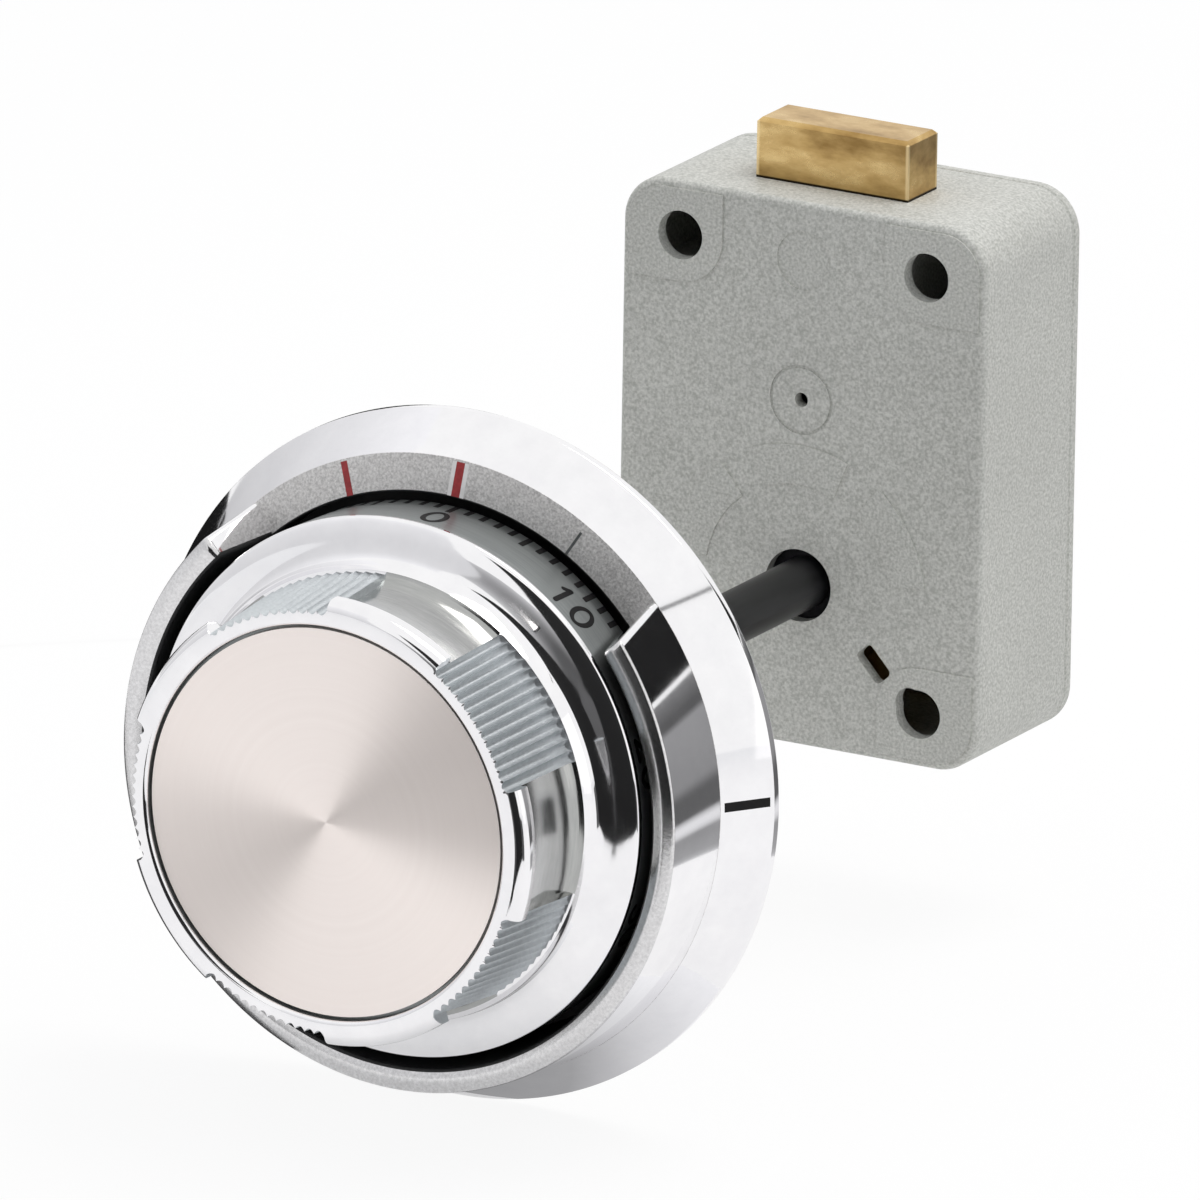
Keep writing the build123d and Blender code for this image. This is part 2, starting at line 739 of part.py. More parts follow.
def index_cut(turn, width):
    """One straight mark pressed into the window face, square to the face's slope."""
    fall = window_rise - flange_rise
    span = flange_top_r - bore_r
    low = depth(flange_rise) + index_depth
    high = depth(window_rise) + index_depth
    outline = [
        (bore_r - over_cut, high - over_cut * fall / span),
        (flange_top_r + over_cut, low + over_cut * fall / span),
        (flange_top_r + over_cut, depth(collar_rise)),
        (bore_r - over_cut, depth(collar_rise)),
    ]
    face = make_face(Polyline(*outline, close=True))
    cut = extrude(Plane.XY.offset(-width / 2) * face, amount=width)
    return Rot(0, turn - 90, 0) * cut


def side_mark_cut():
    """A plain straight mark sunk into the flange at the side."""
    slope = math.atan2(ring_r - flange_top_r, flange_rise)
    run_in = side_mark_edge / math.tan(slope)
    run_out = (ring_r - side_mark_edge - flange_top_r) / math.tan(slope)
    sink = side_mark_depth / math.sin(slope)
    outline = [
        (flange_top_r + side_mark_edge, depth(flange_rise - run_in) + sink),
        (ring_r - side_mark_edge, depth(flange_rise - run_out) + sink),
        (ring_r - side_mark_edge, depth(flange_rise)),
        (flange_top_r + side_mark_edge, depth(flange_rise)),
    ]
    face = make_face(Polyline(*outline, close=True))
    cut = extrude(Plane.XY.offset(-side_mark_w / 2) * face, amount=side_mark_w)
    return Rot(0, side_mark_turn - 90, 0) * cut


def dial_ring():
    body = ring_body() - window_cut() - side_mark_cut()
    for turn, width in zip(index_turns, index_widths):
        body -= index_cut(turn, width)
    body = Rot(0, ring_turn, 0) * body
    head_depth = ring_screw_head_r - ring_screw_r
    web_front = -door_gap - ring_web_t
    for side in (-1, 1):
        x = side * ring_screw_dx / 2
        body -= rod(ring_screw_r, web_front - over_cut, -door_gap + over_cut, x)
        sink = Cone(ring_screw_r, ring_screw_head_r, head_depth)
        body -= Pos(x, web_front + head_depth / 2, 0) * Rot(90, 0, 0) * sink
    return body


def ring_bushing():
    return tube(bush_r, spindle_r + run_clear, depth(dial_hub_back) + bush_gap, -door_gap - slide_clear)


# The dial: graduated band, bell and fluted knob in one casting, hollow at the back
def dial_body():
    bore = spindle_r + seat_clear
    grip_end = dial_hub_back + spindle_grip + slide_clear
    face_back = knob_rise - inlay_sink - inlay_t
    hollow_top = face_back - face_t
    knob_in_r = waist_r - knob_wall
    bell_back = band_front - face_t
    outer = [
        (0, grip_end),
        (bore, grip_end),
        (bore, dial_hub_back),
        (dial_hub_r, dial_hub_back),
        (dial_hub_r, hollow_top),
        (knob_in_r, hollow_top),
        (knob_in_r, knob_foot - face_t),
        (band_back_r - band_wall, bell_back),
        (band_back_r - band_wall, dial_back),
        (band_back_r - band_back + dial_back, dial_back),
        (band_back_r, band_back),
        (band_front_r, band_front),
    ]
    mid_r = (band_front_r + bell_mid_r) / 2
    mid_d = (band_front + bell_mid) / 2
    roll = (mid_r + bell_roll * 2, mid_d + bell_roll)
    bow = ((bell_mid_r + knob_r) / 2, (bell_mid + knob_foot) / 2 - bell_bow)
    rim_mid = rim_roll * arc_sag
    top = [
        (knob_r - rim_roll, knob_rise),
        (rim_in_r + rim_in_chamfer, knob_rise),
        (rim_in_r, knob_rise - rim_in_chamfer),
        (rim_in_r, face_back),
        (0, face_back),
        (0, grip_end),
    ]

    def at(p):
        return (p[0], depth(p[1]))

    edges = Polyline(*[at(p) for p in outer])
    edges += ThreePointArc(at(outer[-1]), at(roll), at((bell_mid_r, bell_mid)))
    edges += ThreePointArc(at((bell_mid_r, bell_mid)), at(bow), at((knob_r, knob_foot)))
    edges += Line(at((knob_r, knob_foot)), at((knob_r, knob_rise - rim_roll)))
    rim_low = (knob_r, knob_rise - rim_roll)
    edges += ThreePointArc(at(rim_low), at((knob_r - rim_mid, knob_rise - rim_mid)), at(top[0]))
    edges += Polyline(*[at(p) for p in top])
    return turned(edges)


def patch_face(crest_r, d):
    """What lies outside one fluted patch at a depth, with the grooves drawn as short flats."""
    half = math.radians(flute_patch_angle) / 2
    sink = flute_depth * crest_r / flute_foot_r
    far_r = crest_r * (knob_r + over_cut) / (flute_top_r * math.cos(half))
    count = flutes_per_patch * flute_facets
    points = [(-far_r * math.sin(half), far_r * math.cos(half))]
    for i in range(count + 1):
        r = crest_r - sink * abs(math.sin(math.pi * i / flute_facets))
        turn = half * (2 * i / count - 1)
        points.append((r * math.sin(turn), r * math.cos(turn)))
    points.append((far_r * math.sin(half), far_r * math.cos(half)))
    return Plane.XZ.offset(-depth(d)) * make_face(Polyline(*points, close=True))


def patch_cut():
    """One patch's grooves, straight from the knob's foot to past its top, leaning in."""
    foot, top = knob_foot + slide_clear, knob_rise + over_cut
    lean = flute_lean / (knob_rise - knob_foot)
    foot_r = flute_foot_r - lean * slide_clear
    return loft([patch_face(foot_r, foot), patch_face(foot_r - lean * (top - foot), top)], ruled=True)


def waist_cut():
    """The plain grip between two fluted patches, drawn in under the rim and flared at the foot."""
    arc = 360 / flute_patches - flute_patch_angle
    flare_mid = (waist_r + (knob_r - waist_r) * arc_sag, knob_foot + waist_flare * arc_sag)
    far_r = knob_r + over_cut
    edges = ThreePointArc(
        (knob_r, depth(knob_foot)),
        (flare_mid[0], depth(flare_mid[1])),
        (waist_r, depth(knob_foot + waist_flare)),
    )
    edges += Polyline(
        (waist_r, depth(knob_foot + waist_flare)),
        (waist_r, depth(waist_top - (knob_r - waist_r) / 2)),
        (knob_r, depth(waist_top)),
        (far_r, depth(waist_top)),
        (far_r, depth(knob_foot)),
        (knob_r, depth(knob_foot)),
    )
    cut = revolve(make_face(Plane.XY * edges), Axis.Y, revolution_arc=arc)
    return Rot(0, -90, 0) * cut


def dial():
    body = dial_body()
    for i in range(flute_patches):
        turn = flute_first_turn + i * 360 / flute_patches
        body -= Rot(0, turn, 0) * patch_cut()
        body -= Rot(0, turn + flute_patch_angle / 2, 0) * waist_cut()
    return body


def dial_inlay():
    back = depth(knob_rise - inlay_sink - inlay_t)
    return rod(inlay_r, back - inlay_t, back)


os.makedirs("parts", exist_ok=True)
save("lock_case", lock_case())
save("case_cover", case_cover())
save("cover_screws", cover_screws())
save("bolt", bolt())
save("lever", lever())
save("fence_bar", fence_bar())
save("lever_screw", lever_screw())
save("lever_spring", lever_spring())
save("relock_plunger", relock_plunger())
save("relock_spring", relock_spring())
save("wheel_post", wheel_post())
save("tension_washer", tension_washer())
save("spacer_washers", spacer_washers())
save("post_snap_ring", post_snap_ring())
for number in range(wheel_count):
    save(f"wheel_{number + 1}", wheel(number))
    save(f"wheel_hub_{number + 1}", wheel_hub(number))
    save(f"fly_{number + 1}", fly(number))
save("drive_cam", drive_cam())
save("spline_key", spline_key())
save("spindle", spindle())
save("dial_ring", dial_ring())
save("ring_bushing", ring_bushing())
save("dial", dial())
save("dial_inlay", dial_inlay())
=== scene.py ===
import math

import bmesh
import bpy
from mathutils import Matrix, Vector


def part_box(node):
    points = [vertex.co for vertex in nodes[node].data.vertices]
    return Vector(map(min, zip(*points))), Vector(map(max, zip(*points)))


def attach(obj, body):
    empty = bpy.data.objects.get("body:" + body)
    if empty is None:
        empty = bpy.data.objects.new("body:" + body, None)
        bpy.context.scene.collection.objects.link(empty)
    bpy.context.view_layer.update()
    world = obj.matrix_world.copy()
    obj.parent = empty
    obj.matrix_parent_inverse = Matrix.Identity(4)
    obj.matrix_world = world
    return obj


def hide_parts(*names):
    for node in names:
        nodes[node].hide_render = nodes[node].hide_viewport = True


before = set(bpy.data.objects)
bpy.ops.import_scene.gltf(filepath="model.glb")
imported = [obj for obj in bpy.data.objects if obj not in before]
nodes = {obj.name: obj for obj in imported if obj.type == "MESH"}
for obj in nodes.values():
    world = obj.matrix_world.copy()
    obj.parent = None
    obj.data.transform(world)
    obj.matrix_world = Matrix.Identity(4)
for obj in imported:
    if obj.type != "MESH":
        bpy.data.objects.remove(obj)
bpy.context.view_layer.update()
scene = bpy.context.scene
scene.view_settings.view_transform = "Standard"

# Camera: a long lens above and to the right of the dial, level apart from a slight lean. Its place
# and focal length are fitted to the case's corners and to the ring's, collar's and dial's circles.
camera_place = Vector((2.31971, -4.18289, 1.45712))
aim = Vector((-0.46890024, 0.83361764, -0.2919147))
lean = math.radians(0.938)
camera_data = bpy.data.cameras.new("camera")
camera_data.lens = 1022.58
camera_data.sensor_width = 36.0
camera_data.clip_end = 30.0
camera = bpy.data.objects.new("camera", camera_data)
scene.collection.objects.link(camera)
scene.camera = camera
level = Vector((-aim.y, aim.x, 0)).normalized() * -1
over = level.cross(aim)
right = level * math.cos(lean) + over * math.sin(lean)
up = over * math.cos(lean) - level * math.sin(lean)
camera.matrix_world = Matrix((
    (right.x, up.x, -aim.x, camera_place.x),
    (right.y, up.y, -aim.y, camera_place.y),
    (right.z, up.z, -aim.z, camera_place.z),
    (0, 0, 0, 1),
))


# Studio: a white tent with black flags and pale boards round the dial, which polished chrome shows as
# dark and grey bands. The floor is a pale sweep just under the ring, and the background is white.
def node(tree, kind, inputs=None, **settings):
    made = tree.nodes.new("ShaderNode" + kind)
    for name, value in settings.items():
        setattr(made, name, value)
    for name, value in (inputs or {}).items():
        if isinstance(value, bpy.types.NodeSocket):
            tree.links.new(value, made.inputs[name])
        else:
            made.inputs[name].default_value = value
    return made


def math_node(tree, operation, a, b=0.0):
    return node(tree, "Math", {0: a, 1: b}, operation=operation).outputs[0]


def scaled(tree, value, start, end, low=0.0, high=1.0):
    """Turns a value that runs from start to end into one from low to high, and holds it there."""
    return node(tree, "MapRange", {
        "Value": value, "From Min": start, "From Max": end, "To Min": low, "To Max": high,
    }).outputs[0]


def ramp(tree, value, *stops):
    made = node(tree, "ValToRGB", {"Fac": value})
    points = made.color_ramp.elements
    while len(points) < len(stops):
        points.new(0.5)
    for point, (place, colour) in zip(points, stops):
        point.position = place
        point.color = (*colour, 1)
    return made.outputs["Color"]


def shown(tree, glossy):
    """1 to the camera, and that share of 1 to metal and glass, which show the background too."""
    path = node(tree, "LightPath").outputs
    mirrored = math_node(tree, "MAXIMUM", path["Is Glossy Ray"], path["Is Transmission Ray"])
    return math_node(tree, "MAXIMUM", path["Is Camera Ray"], math_node(tree, "MULTIPLY", mirrored, glossy))


world = bpy.data.worlds.new("studio")
scene.world = world
world.use_nodes = True
tree = world.node_tree
tree.nodes.clear()
tent = node(tree, "Background", {"Color": (0.96, 0.97, 1.0, 1), "Strength": 0.88})
white = node(tree, "Background", {"Color": (1, 1, 1, 1), "Strength": 1.0})
mixed = node(tree, "MixShader", {0: shown(tree, 1.0), 1: tent.outputs[0], 2: white.outputs[0]})
node(tree, "OutputWorld", {"Surface": mixed.outputs[0]})

floor_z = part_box("dial_ring")[0].z
studio_middle = Vector((0, -0.115, 0))
sheet_lift = 0.001
panels = 24
card_blue = 1.02


def card(name, turns, stops, rise=0.0, reach=1.1, across=0.0, layer=1):
    """A curved card round the dial between two turns from the front, in degrees.

    The stops give its brightness from its foot to its head, as (height in degrees, brightness). What
    dips under the horizon lies on the floor as a sheet that only metal and glass show, and the sheet's
    near edge climbs by rise degrees from the first turn to the last. The card stands round a point that
    far across from the dial's axis, and a second layer lies over the first.
    """
    middle = studio_middle + Vector((across, 0, 0))
    made = bpy.data.materials.new(name)
    made.use_nodes = True
    tree = made.node_tree
    tree.nodes.clear()
    place = node(tree, "TexCoord").outputs["Object"]
    away = node(tree, "VectorMath", {0: place, 1: middle}, operation="SUBTRACT").outputs[0]
    away = node(tree, "VectorMath", {0: away}, operation="NORMALIZE").outputs[0]
    climb = math_node(tree, "ARCSINE", node(tree, "SeparateXYZ", {0: away}).outputs["Z"])
    share = scaled(tree, climb, -math.pi / 2, math.pi / 2)
    steps = [(0.5 + height / 180, (value, value, card_blue * value)) for height, value in stops]
    shade = ramp(tree, share, *steps)
    glow = node(tree, "Emission", {"Color": shade, "Strength": 1.0})
    node(tree, "OutputMaterial", {"Surface": glow.outputs[0]})
    low, high = stops[0][0], stops[-1][0]
    foot, head = (max(reach * math.tan(math.radians(h)), floor_z) for h in (low, high))
    sheet_z = floor_z + sheet_lift * layer
    for title in (name, name + "_sheet") if foot == floor_z else (name,):
        mesh = bpy.data.meshes.new(title)
        points, faces = [], []
        for i in range(panels + 1):
            turn = math.radians(turns[0] + (turns[1] - turns[0]) * i / panels)
            near = floor_z / math.tan(math.radians(low + rise * i / panels))
            lying = [(near, sheet_z), (reach, sheet_z)]
            for r, z in [(reach, foot), (reach, head)] if title == name else lying:
                points.append((middle.x + r * math.sin(turn), middle.y - r * math.cos(turn), z))
            if i:
                faces.append((2 * i - 2, 2 * i - 1, 2 * i + 1, 2 * i))
        mesh.from_pydata(points, [], faces)
        mesh.materials.append(made)
        sheet = bpy.data.objects.new(title, mesh)
        scene.collection.objects.link(sheet)
        sheet.visible_camera = False
        if title != name:
            sheet.visible_diffuse = False
            sheet.visible_shadow = False


card("right_flag", (-8, 49), ((-21, 0.015), (38, 0.03)), rise=7.0)
card("flag_foot", (49, 64), ((-14.6, 0.1), (-13.6, 0.1)))
card("front_shade", (-20, -8), ((-11, 0.12), (-3, 0.1), (7, 0.6)))
card("front_stripe", (-16, -9), ((-21, 0.02), (-17.5, 0.03), (-15.5, 0.09), (-5, 0.12)),
     reach=0.62, across=0.037, layer=2)
card("ring_foot_shade", (80, 216), ((-80, 0.3), (-64, 0.36), (-54, 0.66), (-42, 0.92)), reach=0.057)
card("back_right_flag", (118, 152), ((15, 0.015), (31, 0.02)))
card("back_right_board", (118, 165), (
    (-20.5, 0.85), (-19.5, 0.38), (-15.5, 0.3), (-14.5, 0.8), (-13, 0.8), (-12, 0.12),
    (-8, 0.12), (-6, 0.27), (6.5, 0.32), (7.5, 0.11), (9, 0.11), (13.8, 0.22),
))
# A grey sheet on the floor behind and below, seen only in the chrome: painted shadow of the floor under
# the case.
card("back_floor_painted_shadow", (172, 205), ((-48, 0.42), (-27, 0.5)))
card("window_bar", (58, 76), ((39.6, 0.2), (40.6, 0.2)))
card("left_flag", (-154, -113), ((-16, 0.01), (5, 0.01)))
card("left_foot_flag", (-142, -72), ((-66, 0.06), (-12, 0.1)), reach=0.24, layer=2)
card("left_board", (-115, -86), ((3, 0.6), (56, 1.0)))
card("front_left_board", (-82, -20), ((1, 0.72), (44, 0.95)))


def area_light(name, place, target, size, power, colour):
    data = bpy.data.lights.new(name, "AREA")
    data.shape = "RECTANGLE"
    data.size, data.size_y = size
    data.energy = power
    data.color = colour
    lamp = bpy.data.objects.new(name, data)
    scene.collection.objects.link(lamp)
    lamp.location = place
    lamp.rotation_euler = (Vector(target) - Vector(place)).to_track_quat("-Z", "Y").to_euler()


area_light("key", place=(0.27, 0.15, 0.9), target=(0, -0.03, 0), size=(0.5, 0.5), power=3.4,
           colour=(1.0, 0.965, 0.93))
area_light("side_fill", place=(0.9, -0.1, 0.15), target=(0, 0, 0), size=(0.4, 0.6), power=0.15,
           colour=(1.0, 0.96, 0.93))

floor_half = 6.0
corners = [(floor_half * x, floor_half * y, floor_z) for x, y in ((-1, -1), (1, -1), (1, 1), (-1, 1))]
mesh = bpy.data.meshes.new("floor")
mesh.from_pydata(corners, [], [(0, 1, 2, 3)])
floor = bpy.data.objects.new("floor", mesh)
scene.collection.objects.link(floor)
pale = bpy.data.materials.new("pale_floor")
pale.use_nodes = True
tree = pale.node_tree
tree.nodes.clear()
matt = node(tree, "BsdfDiffuse", {"Color": (0.93, 0.93, 0.93, 1)})
glow = node(tree, "Emission", {"Color": (1, 1, 1, 1), "Strength": 1.0})
part_seen = math_node(tree, "MULTIPLY", shown(tree, 0.5), 0.9)
mixed = node(tree, "MixShader", {0: part_seen, 1: matt.outputs[0], 2: glow.outputs[0]})
node(tree, "OutputMaterial", {"Surface": mixed.outputs[0]})
mesh.materials.append(pale)


# Lock case and cover: zinc die castings in speckled grey baked enamel. The cover's two screws hold it
# on from the back, and the corner pads stand a quarter of a millimetre proud.
def surface(name):
    """A new material with its node tree and its Principled shader."""
    made = bpy.data.materials.new(name)
    made.use_nodes = True
    return made, made.node_tree, made.node_tree.nodes["Principled BSDF"]


def noise(tree, scale, detail=2.0, rough=0.5, stretch=None):
    """Noise in object space, so many waves to the metre."""
    place = node(tree, "TexCoord").outputs["Object"]
    if stretch:
        place = node(tree, "Mapping", {"Vector": place, "Scale": stretch}).outputs[0]
    made = node(tree, "TexNoise", {"Vector": place, "Scale": scale, "Detail": detail, "Roughness": rough})
    return made.outputs["Fac"]


def spread(tree, value, low, high):
    """Turns noise into a number between low and high."""
    return scaled(tree, value, 0.3, 0.7, low, high)


def relief(tree, height, distance, strength=1.0):
    made = node(tree, "Bump", {"Height": height, "Distance": distance, "Strength": strength})
    return made.outputs["Normal"]


def blend(tree, share, first, second, way="MIX"):
    """Mixes two colours by that share of the second."""
    made = node(tree, "Mix", {0: share, 6: first, 7: second}, data_type="RGBA", blend_type=way)
    return made.outputs[2]


def link(tree, value, socket):
    tree.links.new(value, socket)


def dress(piece, finish):
    """Gives a node of the frame its finish."""
    piece.data.materials.clear()
    piece.data.materials.append(finish)


enamel, tree, shader = surface("case_enamel")
grain = noise(tree, 2300, 3.0, 0.6)
cloud = noise(tree, 45, 2.0)
speckle = ramp(tree, grain, (0.34, (0.415, 0.425, 0.39)), (0.5, (0.548, 0.555, 0.52)),
               (0.66, (0.67, 0.675, 0.635)))
shade = ramp(tree, cloud, (0.3, (0.93, 0.93, 0.93)), (0.7, (1.0, 1.0, 1.0)))
link(tree, blend(tree, 1.0, speckle, shade, "MULTIPLY"), shader.inputs["Base Color"])
link(tree, spread(tree, grain, 0.52, 0.68), shader.inputs["Roughness"])
link(tree, relief(tree, grain, 0.00005, 0.8), shader.inputs["Normal"])
dress(nodes["lock_case"], enamel)
dress(nodes["case_cover"], enamel)

# Bolt: extruded brass bar, sawn and tumbled, gone brown in patches. Its upright corners are worn
# bright with a painted highlight on them, and a painted shadow darkens its foot at the case's slot.
brass, tree, shader = surface("bolt_brass_aged")
stain = noise(tree, 170, 5.0, 0.6, (0.6, 1, 1.5))
fine = noise(tree, 1800, 2.0)
tint = ramp(tree, stain, (0.3, (0.36, 0.22, 0.075)), (0.5, (0.58, 0.385, 0.15)),
            (0.68, (0.76, 0.55, 0.25)))
worn_highlight_brass = (0.86, 0.66, 0.35, 1)
worn_highlight_reach, worn_highlight_fade = 0.0003, 0.00055
slot_shadow_brown = (0.03, 0.022, 0.012, 1)
slot_shadow_reach, slot_shadow_fade = 0.00025, 0.0004
bolt_low, bolt_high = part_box("bolt")
case_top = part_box("lock_case")[1].z
spot = node(tree, "SeparateXYZ", {0: node(tree, "TexCoord").outputs["Object"]}).outputs


def to_side(tree, value, low, high):
    """How far inside the nearer of two sides a coordinate lies."""
    past_low = math_node(tree, "SUBTRACT", value, low)
    return math_node(tree, "MINIMUM", past_low, math_node(tree, "SUBTRACT", high, value))


corner = math_node(tree, "ADD", to_side(tree, spot["X"], bolt_low.x, bolt_high.x),
                   to_side(tree, spot["Y"], bolt_low.y, bolt_high.y))
# Painted highlight, partly wear: the upright corners turn pale brass within half a millimetre of them.
worn_highlight = scaled(tree, corner, worn_highlight_fade, worn_highlight_reach)
# Painted shadow: the bolt goes near black just above the case's top, where it stands out of its slot.
slot_shadow = scaled(tree, spot["Z"], case_top + slot_shadow_fade, case_top + slot_shadow_reach)
tint = blend(tree, slot_shadow, blend(tree, worn_highlight, tint, worn_highlight_brass), slot_shadow_brown)
link(tree, tint, shader.inputs["Base Color"])
shader.inputs["Metallic"].default_value = 1.0
link(tree, spread(tree, stain, 0.36, 0.24), shader.inputs["Roughness"])
link(tree, relief(tree, fine, 0.00001, 0.5), shader.inputs["Normal"])
dress(nodes["bolt"], brass)

# Spindle: turned steel rod with a charcoal black oxide finish, rubbed a little where it runs. It is
# keyed to the cam inside the case and pinned in the dial.
oxide, tree, shader = surface("spindle_oxide")
rub = noise(tree, 60, 3.0, 0.6, (6, 1, 6))
tint = ramp(tree, rub, (0.35, (0.018, 0.018, 0.019)), (0.7, (0.035, 0.035, 0.037)))
link(tree, tint, shader.inputs["Base Color"])
shader.inputs["Metallic"].default_value = 0.4
link(tree, spread(tree, rub, 0.3, 0.42), shader.inputs["Roughness"])
dress(nodes["spindle"], oxide)


# Inner works: stamped and turned brass wheels, hubs, flies, spacers, cam, lever, fence and ring bushing,
# plated steel screws, key and plunger, and springs, snap ring and tension washer of spring steel. The
# wheel post is blackened. Little of it shows: the post's end, the bushing and the cover's screws.
def plain_metal(name, dark, pale, rough):
    made, tree, shader = surface(name)
    fleck = noise(tree, 700, 3.0, 0.55)
    link(tree, ramp(tree, fleck, (0.3, dark), (0.7, pale)), shader.inputs["Base Color"])
    shader.inputs["Metallic"].default_value = 1.0
    link(tree, spread(tree, fleck, rough, rough + 0.12), shader.inputs["Roughness"])
    link(tree, relief(tree, fleck, 0.00001, 0.5), shader.inputs["Normal"])
    return made


inner_brass = plain_metal("stamped_brass", (0.62, 0.44, 0.19), (0.74, 0.55, 0.27), 0.28)
inner_steel = plain_metal("plated_steel", (0.50, 0.51, 0.52), (0.64, 0.64, 0.65), 0.25)
spring_wire = plain_metal("spring_wire", (0.30, 0.31, 0.33), (0.42, 0.43, 0.45), 0.3)
blackened = plain_metal("blackened_steel", (0.012, 0.012, 0.013), (0.03, 0.03, 0.032), 0.4)
inner_finish = {
    "brass_parts": inner_brass,
    "steel_parts": inner_steel,
    "case_screws_steel": inner_steel,
    "spring_steel": spring_wire,
}
for piece in nodes.values():
    slot = piece.data.materials[0].name
    if slot in inner_finish:
        dress(piece, inner_finish[slot])
dress(nodes["wheel_post"], blackened)


# Dial ring: a turned zinc casting in bright chrome. Its window face and back are bead-blasted grey and
# the collar's lip is satin, and two screws through its web hold it on the door.
rim_front = 98.5


def front(r, d, turn):
    """The point at radius r and d millimetres forward of the rim's front edge, clockwise from the top."""
    a = math.radians(turn)
    return (r * math.sin(a) / 1000, -(rim_front + d) / 1000, r * math.cos(a) / 1000)


def arc(p0, p1, p2, count):
    """Points on the circle through three points, from the first to the last."""
    ax, ay, bx, by, cx, cy = *p0, *p1, *p2
    k = 2 * (ax * (by - cy) + bx * (cy - ay) + cx * (ay - by))
    a2, b2, c2 = ax * ax + ay * ay, bx * bx + by * by, cx * cx + cy * cy
    ox = (a2 * (by - cy) + b2 * (cy - ay) + c2 * (ay - by)) / k
    oy = (a2 * (cx - bx) + b2 * (ax - cx) + c2 * (bx - ax)) / k
    t0, t1, t2 = (math.atan2(y - oy, x - ox) for x, y in (p0, p1, p2))
    turn = (t2 - t0) % (2 * math.pi)
    if (t1 - t0) % (2 * math.pi) > turn:
        turn -= 2 * math.pi
    r = math.hypot(ax - ox, ay - oy)
    angles = [t0 + turn * i / count for i in range(count + 1)]
    return [(ox + r * math.cos(t), oy + r * math.sin(t)) for t in angles]


def soften(outline, steps=5):
    """Rounds an outline's corners. Each point is (x, y, radius, finish of the stretch after it)."""
    points, marks = [], []
    for i, (x, y, r, mark) in enumerate(outline):
        if r <= 0:
            points.append((x, y))
            marks.append(mark)
            continue
        here, before = Vector((x, y)), Vector(outline[i - 1][:2])
        after = Vector(outline[(i + 1) % len(outline)][:2])
        a, b = (before - here).normalized(), (after - here).normalized()
        half = a.angle(b) / 2
        cut = min(r / math.tan(half), 0.45 * (before - here).length, 0.45 * (after - here).length)
        r = cut * math.tan(half)
        centre = here + (a + b).normalized() * (r / math.sin(half))
        crown = centre + (here - centre).normalized() * r
        rounded = arc(tuple(here + a * cut), tuple(crown), tuple(here + b * cut), steps)
        points += rounded
        marks += [mark] * len(rounded)
    return points, marks


def skin(name, grid, marks, closed_round, finishes, caps=None, sharp=30):
    """A mesh over rows of points. Each row is a closed loop, and marks gives each stretch's finish."""
    rows, width = len(grid), len(grid[0])
    points = [p for row in grid for p in row]
    faces, which = [], []
    for i in range(rows if closed_round else rows - 1):
        n = (i + 1) % rows
        for j in range(width):
            k = (j + 1) % width
            faces.append((i * width + j, i * width + k, n * width + k, n * width + j))
            which.append(marks[i][j] if isinstance(marks[0], (list, tuple)) else marks[j])
    if caps is not None:
        faces.append(tuple(range(width)))
        faces.append(tuple((rows - 1) * width + j for j in reversed(range(width))))
        which += [caps, caps]
    mesh = bpy.data.meshes.new(name)
    mesh.from_pydata(points, [], faces)
    mesh.polygons.foreach_set("material_index", which)
    for finish in finishes:
        mesh.materials.append(finish)
    work = bmesh.new()
    work.from_mesh(mesh)
    bmesh.ops.recalc_face_normals(work, faces=work.faces)
    work.to_mesh(mesh)
    work.free()
    smooth(mesh, sharp)
    return placed(name, mesh)


def smooth(mesh, sharp=30):
    mesh.polygons.foreach_set("use_smooth", [True] * len(mesh.polygons))
    mesh.set_sharp_from_angle(angle=math.radians(sharp))


def placed(name, mesh):
    made = bpy.data.objects.new(name, mesh)
    scene.collection.objects.link(made)
    return made


def join(name, pieces, finishes):
    """One object from several that share the same list of finishes."""
    work = bmesh.new()
    for piece in pieces:
        work.from_mesh(piece.data)
        bpy.data.objects.remove(piece)
    mesh = bpy.data.meshes.new(name)
    work.to_mesh(mesh)
    work.free()
    for finish in finishes:
        mesh.materials.append(finish)
    return placed(name, mesh)


chrome, tree, shader = surface("bright_chrome")
haze = noise(tree, 160, 4.0, 0.65)
tint = ramp(tree, haze, (0.3, (0.88, 0.875, 0.89)), (0.7, (0.94, 0.935, 0.945)))
link(tree, tint, shader.inputs["Base Color"])
shader.inputs["Metallic"].default_value = 1.0
link(tree, spread(tree, haze, 0.04, 0.08), shader.inputs["Roughness"])

blasted, tree, shader = surface("blasted_chrome")
grain = noise(tree, 2500, 3.0, 0.65)
tint = ramp(tree, grain, (0.34, (0.47, 0.46, 0.455)), (0.5, (0.66, 0.65, 0.64)),
            (0.68, (0.86, 0.85, 0.84)))
link(tree, tint, shader.inputs["Base Color"])
shader.inputs["Metallic"].default_value = 0.75
link(tree, spread(tree, grain, 0.38, 0.55), shader.inputs["Roughness"])
link(tree, relief(tree, grain, 0.00005, 0.7), shader.inputs["Normal"])

lip, tree, shader = surface("lip_satin_chrome")
grain = noise(tree, 2200, 3.0, 0.6)
patch = noise(tree, 30, 2.0)
tint = ramp(tree, grain, (0.3, (0.62, 0.615, 0.62)), (0.7, (0.80, 0.795, 0.80)))
link(tree, tint, shader.inputs["Base Color"])
shader.inputs["Metallic"].default_value = 1.0
link(tree, spread(tree, patch, 0.13, 0.26), shader.inputs["Roughness"])
link(tree, relief(tree, grain, 0.00002, 0.45), shader.inputs["Normal"])

